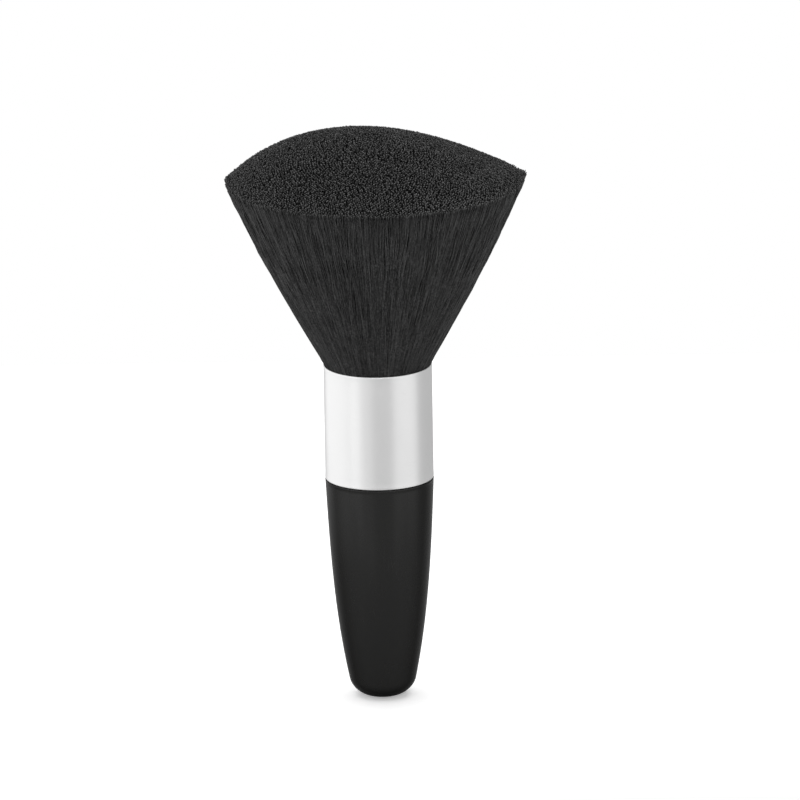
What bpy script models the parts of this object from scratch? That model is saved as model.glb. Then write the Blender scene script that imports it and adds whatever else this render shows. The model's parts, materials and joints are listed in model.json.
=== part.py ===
"""Neck duster brush: a tapered handle, a metal ferrule and a flared tuft of soft bristles.

Metres, +Z up. The origin is at the middle of the handle's end, and the brush's axis is +Z.
Every outline is a list of (radius, height) points. The tuft's heights are measured from the
centre of the ferrule's mouth, which is also the pivot that the tuft bends about.
"""

import math

import bmesh
import bpy
from mathutils import Matrix, Vector

MM = 0.001

# Handle: the barrel narrows with the depth below the ferrule, by a straight and a cubic term.
HANDLE_LENGTH = 56.6 * MM
HANDLE_RADIUS = 13.6 * MM
HANDLE_TAPER = 0.0463
HANDLE_TAPER_CUBIC = 19.7
HANDLE_END_HEIGHT = 4.3 * MM
HANDLE_FLAT_RADIUS = 3.0 * MM
HANDLE_CORE_RADIUS = 7.0 * MM
HANDLE_WALL = 2.5 * MM
SHOULDER_CHAMFER = 0.15 * MM

# Spigot: the stepped neck on top of the handle, inside the ferrule, with a groove for glue.
SPIGOT_TOP = 66.0 * MM
GLUE_GROOVE_BOTTOM = 59.5 * MM
GLUE_GROOVE_TOP = 62.5 * MM
GLUE_GROOVE_DEPTH = 0.8 * MM

# Ferrule.
FERRULE_LENGTH = 29.3 * MM
FERRULE_WALL = 0.5 * MM
FERRULE_EDGE = 0.12 * MM
MOUTH_Z = HANDLE_LENGTH + FERRULE_LENGTH

# Gaps between neighbours: bonded or pressed faces, and soft or moving ones.
BOND_GAP = 0.1 * MM
SOFT_GAP = 0.3 * MM

# Resin that sets the roots, with a raised middle that fans the bristles out.
RESIN_HEIGHT = 4.2 * MM
RESIN_CONE_RADIUS = 7.0 * MM
RESIN_CONE_HEIGHT = 3.5 * MM

# Thread wound round the roots.
THREAD_RADIUS = 0.45 * MM
THREAD_TURNS = 4
THREAD_TOP_BELOW_MOUTH = 6.0 * MM

# Tuft: the flared wall is a parabola and the cut tips lie on a sphere.
TUFT_MOUTH_RADIUS = 12.8 * MM
TUFT_FLARE = 0.605
TUFT_FLARE_LOSS = 1.92
DOME_RADIUS = 63.1 * MM
DOME_CENTRE_HEIGHT = -4.0 * MM

# The tuft's three stages meet on spheres about the pivot, so that each can turn on the last.
ROOT_SPHERE = 20.0 * MM
BELLY_SPHERE = 28.0 * MM

# Locks of the crown: rings between shares of the wall's radius, cut into equal wedges.
CENTRE_SHARE = 0.30
INNER_SHARE = 0.66
INNER_LOCKS = 5
OUTER_LOCKS = 10
LOCK_EDGE = 0.4 * MM

# Fineness of the facets.
TURN_STEPS = 40
WEDGE_STEP = math.tau / TURN_STEPS
MERGE_DISTANCE = 0.00001

COLLECTION_NAME = "neck_duster_brush"
FERRULE_BORE = HANDLE_RADIUS - FERRULE_WALL
RESIN_BOTTOM = SPIGOT_TOP + SOFT_GAP


def clear_scene():
    """Remove whatever objects the scene starts with."""
    for old in list(bpy.data.objects):
        bpy.data.objects.remove(old, do_unlink=True)


def make_material(name, color, roughness, metallic=0.0):
    """A Principled material with one colour."""
    material = bpy.data.materials.new(name)
    material.use_nodes = True
    shader = material.node_tree.nodes["Principled BSDF"]
    shader.inputs["Base Color"].default_value = (*color, 1.0)
    shader.inputs["Roughness"].default_value = roughness
    shader.inputs["Metallic"].default_value = metallic
    return material


def add_object(name, mesh, material, collection, parent=None):
    """An object of the given mesh, in the part's collection."""
    obj = bpy.data.objects.new(name, mesh)
    collection.objects.link(obj)
    obj.parent = parent
    if not mesh.materials:
        mesh.materials.append(material)
    return obj


def add_pivot(name, height, collection, parent=None):
    """An empty on the axis that a stage of the tuft turns about."""
    pivot = bpy.data.objects.new(name, None)
    pivot.empty_display_size = 10 * MM
    pivot.location = (0, 0, height)
    pivot.parent = parent
    collection.objects.link(pivot)
    return pivot


def turned_mesh(name, outline, closed):
    """Turn an outline about Z with a Screw modifier.

    An open outline starts and ends on the axis, and a closed one makes a ring. Both run down
    the outer side, so that the faces point out.
    """
    mesh = bpy.data.meshes.new(name + "_outline")
    points = [(radius, 0, height) for radius, height in outline]
    edges = [(i, i + 1) for i in range(len(points) - 1)]
    if closed:
        edges.append((len(points) - 1, 0))
    mesh.from_pydata(points, edges, [])
    scratch = bpy.data.objects.new(name + "_outline", mesh)
    bpy.context.scene.collection.objects.link(scratch)

    screw = scratch.modifiers.new("turn", "SCREW")
    screw.axis = "Z"
    screw.angle = math.tau
    screw.steps = TURN_STEPS
    screw.render_steps = TURN_STEPS
    screw.use_merge_vertices = True
    screw.merge_threshold = MERGE_DISTANCE

    graph = bpy.context.evaluated_depsgraph_get()
    turned = bpy.data.meshes.new_from_object(scratch.evaluated_get(graph))
    turned.name = name
    bpy.data.objects.remove(scratch)
    bpy.data.meshes.remove(mesh)
    shade_round(turned)
    return turned


def wedge_mesh(name, outline, sweep):
    """Spin a closed outline through a wedge about Z, centred on +X, with flat sides.

    The wedge stands off the axis far enough to keep half the soft gap on both of its sides.
    """
    stand_off = SOFT_GAP / 2 / math.sin(sweep / 2)
    bm = bmesh.new()
    corners = [bm.verts.new((radius - stand_off, 0, height)) for radius, height in outline]
    face = bm.faces.new(corners)
    bmesh.ops.rotate(bm, verts=corners, cent=(0, 0, 0), matrix=Matrix.Rotation(-sweep / 2, 3, "Z"))
    bmesh.ops.spin(
        bm,
        geom=[face, *face.edges, *face.verts],
        cent=(0, 0, 0),
        axis=(0, 0, 1),
        angle=sweep,
        steps=round(sweep / WEDGE_STEP),
    )
    bmesh.ops.translate(bm, verts=bm.verts, vec=Vector((stand_off, 0, 0)))
    bmesh.ops.recalc_face_normals(bm, faces=bm.faces)
    mesh = bpy.data.meshes.new(name)
    bm.to_mesh(mesh)
    bm.free()
    shade_round(mesh)
    return mesh


def shade_round(mesh):
    """Smooth shading, kept sharp at real corners."""
    mesh.shade_smooth()
    mesh.set_sharp_from_angle(angle=math.radians(35))


def soften_edges(obj, width):
    """A one-step bevel along the corners of a lock."""
    bevel = obj.modifiers.new("soft_edges", "BEVEL")
    bevel.width = width
    bevel.segments = 1
    bevel.limit_method = "ANGLE"
    bevel.angle_limit = math.radians(40)


def spaced(first, last, steps):
    """Evenly spaced numbers from first to last, both ends included."""
    return [first + (last - first) * i / steps for i in range(steps + 1)]


def crossing(function, low, high):
    """Where a function that rises through zero between low and high is zero, by halving."""
    for _ in range(50):
        middle = (low + high) / 2
        if function(middle) < 0:
            low = middle
        else:
            high = middle
    return (low + high) / 2


# Outlines of the handle, ferrule and what they hold. Heights are from the handle's end.


def barrel_radius(height):
    """Outer radius of the handle: its taper, pulled in to the rounded end."""
    depth = HANDLE_LENGTH - height
    radius = HANDLE_RADIUS - HANDLE_TAPER * depth - HANDLE_TAPER_CUBIC * depth**3
    if height < HANDLE_END_HEIGHT:
        tapered_end = HANDLE_RADIUS - HANDLE_TAPER * HANDLE_LENGTH
        tapered_end -= HANDLE_TAPER_CUBIC * HANDLE_LENGTH**3
        fall = 1 - height / HANDLE_END_HEIGHT
        radius -= (tapered_end - HANDLE_FLAT_RADIUS) * (1 - math.sqrt(1 - fall**2))
    return radius


def handle_outline():
    """From the core's floor up its wall, over the spigot and down the barrel to the end flat."""
    spigot = FERRULE_BORE - BOND_GAP * 2
    core_floor = HANDLE_END_HEIGHT
    core_heights = spaced(core_floor, HANDLE_LENGTH / 4, 3)
    core = [(min(HANDLE_CORE_RADIUS, barrel_radius(h) - HANDLE_WALL), h) for h in core_heights]
    outline = [(0, core_floor), *core, (HANDLE_CORE_RADIUS, SPIGOT_TOP)]
    outline += [
        (spigot - SHOULDER_CHAMFER, SPIGOT_TOP),
        (spigot, SPIGOT_TOP - SHOULDER_CHAMFER),
        (spigot, GLUE_GROOVE_TOP),
        (spigot - GLUE_GROOVE_DEPTH, GLUE_GROOVE_TOP),
        (spigot - GLUE_GROOVE_DEPTH, GLUE_GROOVE_BOTTOM),
        (spigot, GLUE_GROOVE_BOTTOM),
        (spigot, HANDLE_LENGTH),
        (HANDLE_RADIUS - SHOULDER_CHAMFER, HANDLE_LENGTH),
    ]
    barrel_top = HANDLE_LENGTH - SHOULDER_CHAMFER
    outline += [(barrel_radius(h), h) for h in spaced(barrel_top, HANDLE_END_HEIGHT, 9)]
    for turn in spaced(0, math.pi / 2, 6)[1:]:
        height = HANDLE_END_HEIGHT * (1 - math.sin(turn))
        outline.append((barrel_radius(height), height))
    outline.append((0, 0))
    return outline


def glue_outline():
    """The ring of adhesive that fills the spigot's groove."""
    inner = FERRULE_BORE - BOND_GAP * 2 - GLUE_GROOVE_DEPTH + BOND_GAP
    outer = FERRULE_BORE - BOND_GAP
    top = GLUE_GROOVE_TOP - BOND_GAP
    bottom = GLUE_GROOVE_BOTTOM + BOND_GAP
    return [(outer, top), (outer, bottom), (inner, bottom), (inner, top)]


def ferrule_outline():
    """The sleeve's wall, with its four edges broken."""
    top = MOUTH_Z
    bottom = HANDLE_LENGTH + BOND_GAP
    edge = FERRULE_EDGE
    return [
        (HANDLE_RADIUS - edge, top),
        (HANDLE_RADIUS, top - edge),
        (HANDLE_RADIUS, bottom + edge),
        (HANDLE_RADIUS - edge, bottom),
        (FERRULE_BORE + edge, bottom),
        (FERRULE_BORE, bottom + edge),
        (FERRULE_BORE, top - edge),
        (FERRULE_BORE + edge, top),
    ]


def resin_outline():
    """A cast disc in the ferrule's bore, with a low cone on top."""
    radius = FERRULE_BORE - BOND_GAP
    top = RESIN_BOTTOM + RESIN_HEIGHT
    return [
        (0, top + RESIN_CONE_HEIGHT),
        (RESIN_CONE_RADIUS, top),
        (radius, top),
        (radius, RESIN_BOTTOM),
        (0, RESIN_BOTTOM),
    ]


def thread_outline():
    """Close turns of thread, joined into one ring with a flat inner side."""
    centre_radius = TUFT_MOUTH_RADIUS - THREAD_RADIUS * 0.8
    top = MOUTH_Z - THREAD_TOP_BELOW_MOUTH
    outline = []
    for turn in range(THREAD_TURNS):
        centre_height = top - THREAD_RADIUS * (2 * turn + 1)
        for angle in spaced(math.radians(60), math.radians(-60), 2):
            radius = centre_radius + THREAD_RADIUS * math.cos(angle)
            outline.append((radius, centre_height + THREAD_RADIUS * math.sin(angle)))
    inner = centre_radius - THREAD_RADIUS / 2
    outline += [(inner, outline[-1][1]), (inner, outline[0][1])]
    return outline


# Outlines of the tuft. Heights are from the pivot in the ferrule's mouth.


def wall_radius(height):
    """Radius of the tuft's flared wall."""
    return TUFT_MOUTH_RADIUS + TUFT_FLARE * height - TUFT_FLARE_LOSS * height**2


def tip_height(radius):
    """Height of the cut tips."""
    return DOME_CENTRE_HEIGHT + math.sqrt(DOME_RADIUS**2 - radius**2)


def sphere_arc(sphere, first_radius, last_radius, steps):
    """Points on a sphere about the pivot, between two distances from the axis."""
    first = math.asin(first_radius / sphere)
    last = math.asin(last_radius / sphere)
    return [(sphere * math.sin(a), sphere * math.cos(a)) for a in spaced(first, last, steps)]


def side_on_sphere(radius_at, sphere):
    """The height at which a side, given as radius by height, meets a sphere."""
    return crossing(lambda height: math.hypot(radius_at(height), height) - sphere, 0, sphere)


def root_outline():
    """The gripped bundle: a ball-shaped top, the flare, the grip, and a hollow for the resin."""
    shoulder = side_on_sphere(wall_radius, ROOT_SPHERE)
    bottom = RESIN_BOTTOM + RESIN_HEIGHT + SOFT_GAP - MOUTH_Z
    groove_floor = TUFT_MOUTH_RADIUS - THREAD_RADIUS * 1.3 - BOND_GAP
    groove_top = BOND_GAP - THREAD_TOP_BELOW_MOUTH
    groove_bottom = -THREAD_TOP_BELOW_MOUTH - 2 * THREAD_RADIUS * THREAD_TURNS - BOND_GAP
    outline = sphere_arc(ROOT_SPHERE, 0, wall_radius(shoulder), 6)
    outline += [(wall_radius(h), h) for h in spaced(shoulder, 0, 3)[1:]]
    outline += [
        (TUFT_MOUTH_RADIUS, groove_top),
        (groove_floor, groove_top),
        (groove_floor, groove_bottom),
        (TUFT_MOUTH_RADIUS, groove_bottom),
        (TUFT_MOUTH_RADIUS, bottom),
        (RESIN_CONE_RADIUS, bottom),
        (0, bottom + RESIN_CONE_HEIGHT),
    ]
    return outline


def belly_outline():
    """The first free stage: a shell between two spheres about the pivot, cut by the wall."""
    lower_sphere = ROOT_SPHERE + SOFT_GAP
    top = side_on_sphere(wall_radius, BELLY_SPHERE)
    bottom = side_on_sphere(wall_radius, lower_sphere)
    outline = sphere_arc(BELLY_SPHERE, 0, wall_radius(top), 7)
    outline += [(wall_radius(h), h) for h in spaced(top, bottom, 3)[1:-1]]
    outline += sphere_arc(lower_sphere, wall_radius(bottom), 0, 6)
    return outline


def lock_side(share, inset, steps):
    """One side of a lock, from the belly up to the cut tips, at a share of the wall's radius."""

    def radius_at(height):
        return share * wall_radius(height) + inset

    bottom = side_on_sphere(radius_at, BELLY_SPHERE + SOFT_GAP)
    top = crossing(lambda height: height - tip_height(radius_at(height)), 0, DOME_RADIUS)
    return [(radius_at(height), height) for height in spaced(bottom, top, steps)]


def tip_arc(first_radius, last_radius, steps):
    """Points across the cut tips."""
    return [(radius, tip_height(radius)) for radius in spaced(first_radius, last_radius, steps)]


def centre_lock_outline():
    """The lock on the axis, from its tip down its side to the belly."""
    side = lock_side(CENTRE_SHARE, -SOFT_GAP / 2, 4)
    tips = tip_arc(0, side[-1][0], 3)
    foot = sphere_arc(BELLY_SPHERE + SOFT_GAP, side[0][0], 0, 3)
    return tips[:-1] + side[::-1] + foot[1:]


def ring_lock_outline(inner_share, outer_share, outer_inset, steps):
    """A wedge's cross-section between two shares of the wall's radius."""
    inner = lock_side(inner_share, SOFT_GAP / 2, 4)
    outer = lock_side(outer_share, outer_inset, 6)
    tips = tip_arc(inner[-1][0], outer[-1][0], steps)
    foot = sphere_arc(BELLY_SPHERE + SOFT_GAP, outer[0][0], inner[0][0], steps)
    return inner[:-1] + tips + outer[::-1][1:] + foot[1:-1]


# The sub-parts.


def add_handle(collection, materials):
    """The moulded handle, cored out and open at its spigot."""
    mesh = turned_mesh("handle_shell", handle_outline(), closed=False)
    add_object("handle_shell", mesh, materials["handle"], collection)


def add_spigot_adhesive(collection, materials):
    """The ring of glue between spigot and ferrule."""
    mesh = turned_mesh("spigot_adhesive", glue_outline(), closed=True)
    add_object("spigot_adhesive", mesh, materials["adhesive"], collection)


def add_ferrule(collection, materials):
    """The drawn aluminium sleeve."""
    mesh = turned_mesh("ferrule", ferrule_outline(), closed=True)
    add_object("ferrule", mesh, materials["ferrule"], collection)


def add_resin_plug(collection, materials):
    """The resin that sets the feet of the bristles."""
    mesh = turned_mesh("resin_plug", resin_outline(), closed=False)
    add_object("resin_plug", mesh, materials["resin"], collection)


def add_binding_thread(collection, materials):
    """The thread that ties the knot of bristles."""
    mesh = turned_mesh("binding_thread", thread_outline(), closed=True)
    add_object("binding_thread", mesh, materials["thread"], collection)


def add_bristle_root(collection, materials):
    """The gripped stage of the tuft, which doesn't move."""
    mesh = turned_mesh("bristle_root", root_outline(), closed=False)
    root = add_object("bristle_root", mesh, materials["bristle"], collection)
    root.location = (0, 0, MOUTH_Z)


def add_bristle_belly(collection, materials, pivot):
    """The stage that bends to the front and back."""
    mesh = turned_mesh("bristle_belly", belly_outline(), closed=False)
    add_object("bristle_belly", mesh, materials["bristle"], collection, parent=pivot)


def add_centre_lock(collection, materials, pivot):
    """The lock of bristles on the axis."""
    mesh = turned_mesh("crown_lock_centre", centre_lock_outline(), closed=False)
    lock = add_object("crown_lock_centre", mesh, materials["bristle"], collection, parent=pivot)
    soften_edges(lock, LOCK_EDGE)


def add_lock_ring(name, outline, count, collection, materials, pivot):
    """A ring of equal wedge-shaped locks that share one mesh."""
    sweep = math.tau / count
    mesh = wedge_mesh(name, outline, sweep)
    for index in range(count):
        lock_name = f"{name}_{index + 1}"
        lock = add_object(lock_name, mesh, materials["bristle"], collection, parent=pivot)
        lock.rotation_euler = (0, 0, sweep * (index + 0.5))
        soften_edges(lock, LOCK_EDGE)


def build():
    """The whole brush."""
    clear_scene()
    collection = bpy.data.collections.new(COLLECTION_NAME)
    bpy.context.scene.collection.children.link(collection)
    materials = {
        "handle": make_material("handle_black_plastic", (0.018, 0.018, 0.017), 0.38),
        "ferrule": make_material("ferrule_aluminium", (0.86, 0.87, 0.88), 0.3, metallic=1.0),
        "bristle": make_material("bristle_black_fibre", (0.026, 0.026, 0.026), 0.6),
        "resin": make_material("cast_resin", (0.55, 0.42, 0.22), 0.3),
        "adhesive": make_material("clear_adhesive", (0.75, 0.72, 0.62), 0.35),
        "thread": make_material("binding_thread", (0.60, 0.56, 0.48), 0.8),
    }

    add_handle(collection, materials)
    add_spigot_adhesive(collection, materials)
    add_ferrule(collection, materials)
    add_resin_plug(collection, materials)
    add_binding_thread(collection, materials)
    add_bristle_root(collection, materials)

    front_back = add_pivot("tuft_bend_front_back", MOUTH_Z, collection)
    side = add_pivot("tuft_bend_side", 0, collection, parent=front_back)
    add_bristle_belly(collection, materials, front_back)
    add_centre_lock(collection, materials, side)
    inner = ring_lock_outline(CENTRE_SHARE, INNER_SHARE, -SOFT_GAP / 2, 3)
    add_lock_ring("crown_lock_inner", inner, INNER_LOCKS, collection, materials, side)
    outer = ring_lock_outline(INNER_SHARE, 1.0, 0.0, 3)
    add_lock_ring("crown_lock_outer", outer, OUTER_LOCKS, collection, materials, side)


build()
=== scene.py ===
# %% [markdown]
# # A neck duster brush
#
# A barber's neck duster is three things to the eye: a black handle with a satin skin, a plain
# aluminium ferrule, and a dense tuft of soft black bristles that flares from the ferrule and is
# cut to a shallow dome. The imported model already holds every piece, its size and its two
# bending joints. This script gives those pieces their fine surfaces, their bristles and their
# finishes, lights them and sets the camera.

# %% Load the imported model
import json
import math

import bpy
import numpy as np
from mathutils import Matrix, Vector


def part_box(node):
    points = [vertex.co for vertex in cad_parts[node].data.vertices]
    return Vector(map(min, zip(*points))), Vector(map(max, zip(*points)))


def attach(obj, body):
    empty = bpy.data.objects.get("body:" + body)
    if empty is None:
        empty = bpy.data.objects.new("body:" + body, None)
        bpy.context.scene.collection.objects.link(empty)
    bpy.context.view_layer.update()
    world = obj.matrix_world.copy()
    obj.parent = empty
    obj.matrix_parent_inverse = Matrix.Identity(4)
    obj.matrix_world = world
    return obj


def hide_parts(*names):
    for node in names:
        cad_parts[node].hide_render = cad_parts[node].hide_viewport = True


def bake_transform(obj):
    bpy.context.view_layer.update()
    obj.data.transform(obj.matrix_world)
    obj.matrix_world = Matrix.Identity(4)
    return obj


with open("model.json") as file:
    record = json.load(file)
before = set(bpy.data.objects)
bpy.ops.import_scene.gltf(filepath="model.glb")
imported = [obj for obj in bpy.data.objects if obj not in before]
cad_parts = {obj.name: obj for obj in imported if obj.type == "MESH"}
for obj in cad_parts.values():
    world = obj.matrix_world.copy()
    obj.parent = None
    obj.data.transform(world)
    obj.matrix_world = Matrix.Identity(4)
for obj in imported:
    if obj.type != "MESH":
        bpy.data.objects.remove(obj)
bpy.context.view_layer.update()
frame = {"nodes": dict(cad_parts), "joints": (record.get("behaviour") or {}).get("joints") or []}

MM = 0.001

# %% [markdown]
# ## Places
#
# Everything hangs on four heights: the handle's end, the seam between handle and ferrule, the
# ferrule's mouth and the apex of the tuft. They could be typed in again, but then they could
# drift from the model, so they are read from its boxes and from its first joint, which sits in
# the middle of the mouth.

# %% Heights and radii
handle_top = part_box("handle_shell")[1].z
ferrule_low, ferrule_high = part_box("ferrule")
MOUTH = np.array(frame["joints"][0]["pos_m"], float)
SEAM_Z = ferrule_low.z
FERRULE_RADIUS = (ferrule_high.x - ferrule_low.x) / 2
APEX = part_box("crown_lock_centre")[1].z - MOUTH[2]
INNER_LOCKS = sum("crown_lock_inner" in name for name in frame["nodes"])
OUTER_LOCKS = sum("crown_lock_outer" in name for name in frame["nodes"])
print(f"seam {SEAM_Z:.4f}, mouth {MOUTH[2]:.4f}, apex {APEX:.4f} above it")
print(f"ferrule radius {FERRULE_RADIUS:.5f}, {INNER_LOCKS} inner and {OUTER_LOCKS} outer locks")

# %% [markdown]
# ## Turned surfaces
#
# The handle and the ferrule are both round, so one outline of radius and height, carried round
# the axis, makes either. Blender's Screw modifier could do it, but working the grid out with
# numpy gives clean quads, closed poles and the exact place of every point, with nothing live on
# the object afterwards.

# %% Helpers that make meshes
TURN_SEGMENTS = 192
SHARP_ANGLE = math.radians(40)


def mesh_object(name, points, faces, smooth=True):
    """A mesh object at the origin from an array of points and a list of faces."""
    mesh = bpy.data.meshes.new(name)
    mesh.from_pydata(points, [], faces)
    mesh.update()
    if smooth:
        mesh.shade_smooth()
        mesh.set_sharp_from_angle(angle=SHARP_ANGLE)
    piece = bpy.data.objects.new(name, mesh)
    bpy.context.scene.collection.objects.link(piece)
    return piece


def ring_faces(rows, columns, wrap_rows=False):
    """Quads between neighbouring rings of a grid, which closes on itself round the axis.

    Ring i and column j is point i * columns + j. A quad joins (i, j), (i, j + 1),
    (i + 1, j + 1) and (i + 1, j), turned so that a downward outline on +X faces out.
    """
    i = np.arange(rows if wrap_rows else rows - 1)[:, None]
    j = np.arange(columns)[None, :]
    below = (i + 1) % rows
    beside = (j + 1) % columns
    quads = np.stack(
        [i * columns + j, below * columns + j, below * columns + beside, i * columns + beside], -1
    )
    return quads.reshape(-1, 4)


def pole_fans(rows, columns):
    """Triangles from a grid's first and last rings to the two poles numbered straight after it."""
    first = np.arange(columns)
    beside = (first + 1) % columns
    last = first + (rows - 1) * columns
    top = np.full_like(first, rows * columns)
    fans = [[top, first, beside], [top + 1, last - first + beside, last]]
    return np.concatenate([np.stack(fan, -1) for fan in fans]).tolist()


def turned(name, outline, ring=False):
    """Carry an outline of (radius, height) round Z: point = (r cos a, r sin a, h).

    The outline runs down its outer side. A ring closes on itself, and any other outline starts
    and ends on the axis, where its end points become single poles with a fan of triangles.
    """
    outline = np.asarray(outline, float)
    body = outline if ring else outline[1:-1]
    angle = np.linspace(0, math.tau, TURN_SEGMENTS, endpoint=False)
    radius, height = body[:, :1], body[:, 1:]
    grid = np.stack(
        [radius * np.cos(angle), radius * np.sin(angle), height + 0 * angle], -1
    ).reshape(-1, 3)
    faces = ring_faces(len(body), TURN_SEGMENTS, wrap_rows=ring).tolist()
    if ring:
        return mesh_object(name, grid, faces)

    grid = np.vstack([grid, [0, 0, outline[0, 1]], [0, 0, outline[-1, 1]]])
    return mesh_object(name, grid, faces + pole_fans(len(body), TURN_SEGMENTS))


def arc(centre, radius, first, last, count=7):
    """Points on a circle in the outline's plane, between two angles in degrees."""
    angle = np.radians(np.linspace(first, last, count))
    return np.stack([centre[0] + radius * np.cos(angle), centre[1] + radius * np.sin(angle)], -1)


# %% [markdown]
# ## The handle
#
# The handle is one moulding. Its barrel narrows slowly at first and faster towards the end,
# which a straight term and a cubic term describe, and a quarter of an ellipse rounds the tip
# off to a small flat. Above the seam the same moulding goes on as the spigot that the ferrule
# is glued to, with its glue groove and the core that saves plastic. All of it is modelled,
# because a handle that stops at the seam would be a shell with a hole in it.

# %% The handle's outline and surface
SEAM_GAP = 0.1 * MM
SHOULDER_Z = SEAM_Z - SEAM_GAP
BARREL_TAPER = 0.0463
BARREL_TAPER_CUBIC = 19.7
END_HEIGHT = 4.3 * MM
END_FLAT_RADIUS = 3.0 * MM
SHOULDER_ROUND = 0.35 * MM
CORE_RADIUS = 7.0 * MM
CORE_WALL = 2.5 * MM
CORE_NARROW_TOP = SHOULDER_Z / 4
FERRULE_WALL = 0.5 * MM
GLUE_GAP = 0.2 * MM
SPIGOT_RADIUS = FERRULE_RADIUS - FERRULE_WALL - GLUE_GAP
SPIGOT_ROUND = 0.15 * MM
GROOVE_LOW, GROOVE_HIGH, GROOVE_DEPTH = 59.5 * MM, 62.5 * MM, 0.8 * MM


def barrel_radius(height):
    """Radius = the seam's, less 0.0463 of the depth, less 19.7 times its cube (in metres).

    Within the last few millimetres it also falls along a quarter ellipse to the end flat.
    """
    height = np.asarray(height, float)
    depth = SHOULDER_Z - height
    radius = FERRULE_RADIUS - BARREL_TAPER * depth - BARREL_TAPER_CUBIC * depth**3
    tapered_end = FERRULE_RADIUS - BARREL_TAPER * SHOULDER_Z - BARREL_TAPER_CUBIC * SHOULDER_Z**3
    fall = np.clip(1 - height / END_HEIGHT, 0, 1)
    return radius - (tapered_end - END_FLAT_RADIUS) * (1 - np.sqrt(1 - fall**2))


core_heights = np.linspace(END_HEIGHT, CORE_NARROW_TOP, 12)
core_radii = np.minimum(CORE_RADIUS, barrel_radius(core_heights) - CORE_WALL)
core = np.stack([core_radii, core_heights], -1)
groove_floor = SPIGOT_RADIUS - GROOVE_DEPTH
spigot = np.vstack([
    [CORE_RADIUS, handle_top],
    arc((SPIGOT_RADIUS - SPIGOT_ROUND, handle_top - SPIGOT_ROUND), SPIGOT_ROUND, 90, 0, 4),
    [[SPIGOT_RADIUS, GROOVE_HIGH], [groove_floor, GROOVE_HIGH]],
    [[groove_floor, GROOVE_LOW], [SPIGOT_RADIUS, GROOVE_LOW]],
    [SPIGOT_RADIUS, SHOULDER_Z],
])
shoulder_centre = (FERRULE_RADIUS - SHOULDER_ROUND, SHOULDER_Z - SHOULDER_ROUND)
shoulder = arc(shoulder_centre, SHOULDER_ROUND, 90, 5, 6)
barrel_heights = np.linspace(SHOULDER_Z - SHOULDER_ROUND, END_HEIGHT, 60)
tip_heights = END_HEIGHT * (1 - np.sin(np.linspace(0, math.pi / 2, 24)[1:]))
barrel_heights = np.concatenate([barrel_heights, tip_heights])
barrel = np.stack([barrel_radius(barrel_heights), barrel_heights], -1)
handle = turned("handle", np.vstack([[0, END_HEIGHT], core, spigot, shoulder, barrel, [0, 0]]))
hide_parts("handle_shell")
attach(handle, "grip")
print("handle:", len(handle.data.polygons), "faces")

# %% [markdown]
# ## The ferrule
#
# The ferrule is a drawn aluminium sleeve, half a millimetre thick. Its two ends are turned
# smooth, which is what catches the thin bright line at the mouth and at the seam, so the rims
# are real rounds and not a bevelled corner. The sleeve also swells by a few hundredths of a
# millimetre just inside each rim, where rolling the edge has pushed the metal out.

# %% The ferrule's outline and surface
RIM_ROUND = 0.24 * MM
RIM_SWELL = 0.05 * MM
RIM_SWELL_REACH = 0.9 * MM
BORE = FERRULE_RADIUS - FERRULE_WALL


def sleeve_radius(height):
    """Radius = the sleeve's, less the swell, which comes back as a bell curve at each rim."""
    near_low = np.exp(-(((height - ferrule_low.z) / RIM_SWELL_REACH) ** 2))
    near_high = np.exp(-(((height - ferrule_high.z) / RIM_SWELL_REACH) ** 2))
    return FERRULE_RADIUS - RIM_SWELL + RIM_SWELL * (near_low + near_high)


upper_rim, lower_rim = ferrule_high.z - RIM_ROUND, ferrule_low.z + RIM_ROUND
outer_heights = np.linspace(upper_rim, lower_rim, 60)[1:-1]
outline = np.vstack([
    arc((FERRULE_RADIUS - RIM_ROUND, upper_rim), RIM_ROUND, 90, 0),
    np.stack([sleeve_radius(outer_heights), outer_heights], -1),
    arc((FERRULE_RADIUS - RIM_ROUND, lower_rim), RIM_ROUND, 0, -90),
    arc((BORE + RIM_ROUND, lower_rim), RIM_ROUND, -90, -180),
    arc((BORE + RIM_ROUND, upper_rim), RIM_ROUND, 180, 90),
])
ferrule = turned("ferrule_sleeve", outline, ring=True)
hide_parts("ferrule")
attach(ferrule, "grip")
print("ferrule:", len(ferrule.data.polygons), "faces")

# %% [markdown]
# ## The shape of the tuft
#
# Every bristle starts in the ferrule's mouth and leaves it at its own slant. A bristle's place
# is a share: 0 on the axis and 1 on the outside. At any height above the mouth it stands at its
# share of the wall's radius, so one formula for the flared wall places them all. The tips are
# cut to a sphere, except that the rim keeps a small point on the left and on the right. Hair
# particles could draw the tuft, but they don't survive an export and can't bend with the joints,
# so the bristles are thin closed tubes in real meshes.

# %% Wall and tips as formulas
TUFT_MOUTH_RADIUS = 13.0 * MM
TUFT_FLARE = 0.590
TUFT_FLARE_LOSS = 1.7
DOME_RADIUS = 63.1 * MM
UNEVEN_CUT = 0.08
SIDE_POINT = 1.5 * MM
POINT_EVEN, POINT_RIGHT = 0.75, 0.25
POINT_SHARPNESS = 60
POINT_AT_EDGE = 16
SETTLING_TURNS = 12


def wall_radius(height):
    """Radius of the flared wall: the mouth's, plus 0.590 of the height, less 1.7 times its square."""
    return TUFT_MOUTH_RADIUS + TUFT_FLARE * height - TUFT_FLARE_LOSS * height**2


def dome_height(radius):
    """Height of the cut above the mouth: a sphere of 63.1 mm whose top is the apex."""
    return APEX - DOME_RADIUS + np.sqrt(DOME_RADIUS**2 - radius**2)


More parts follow.
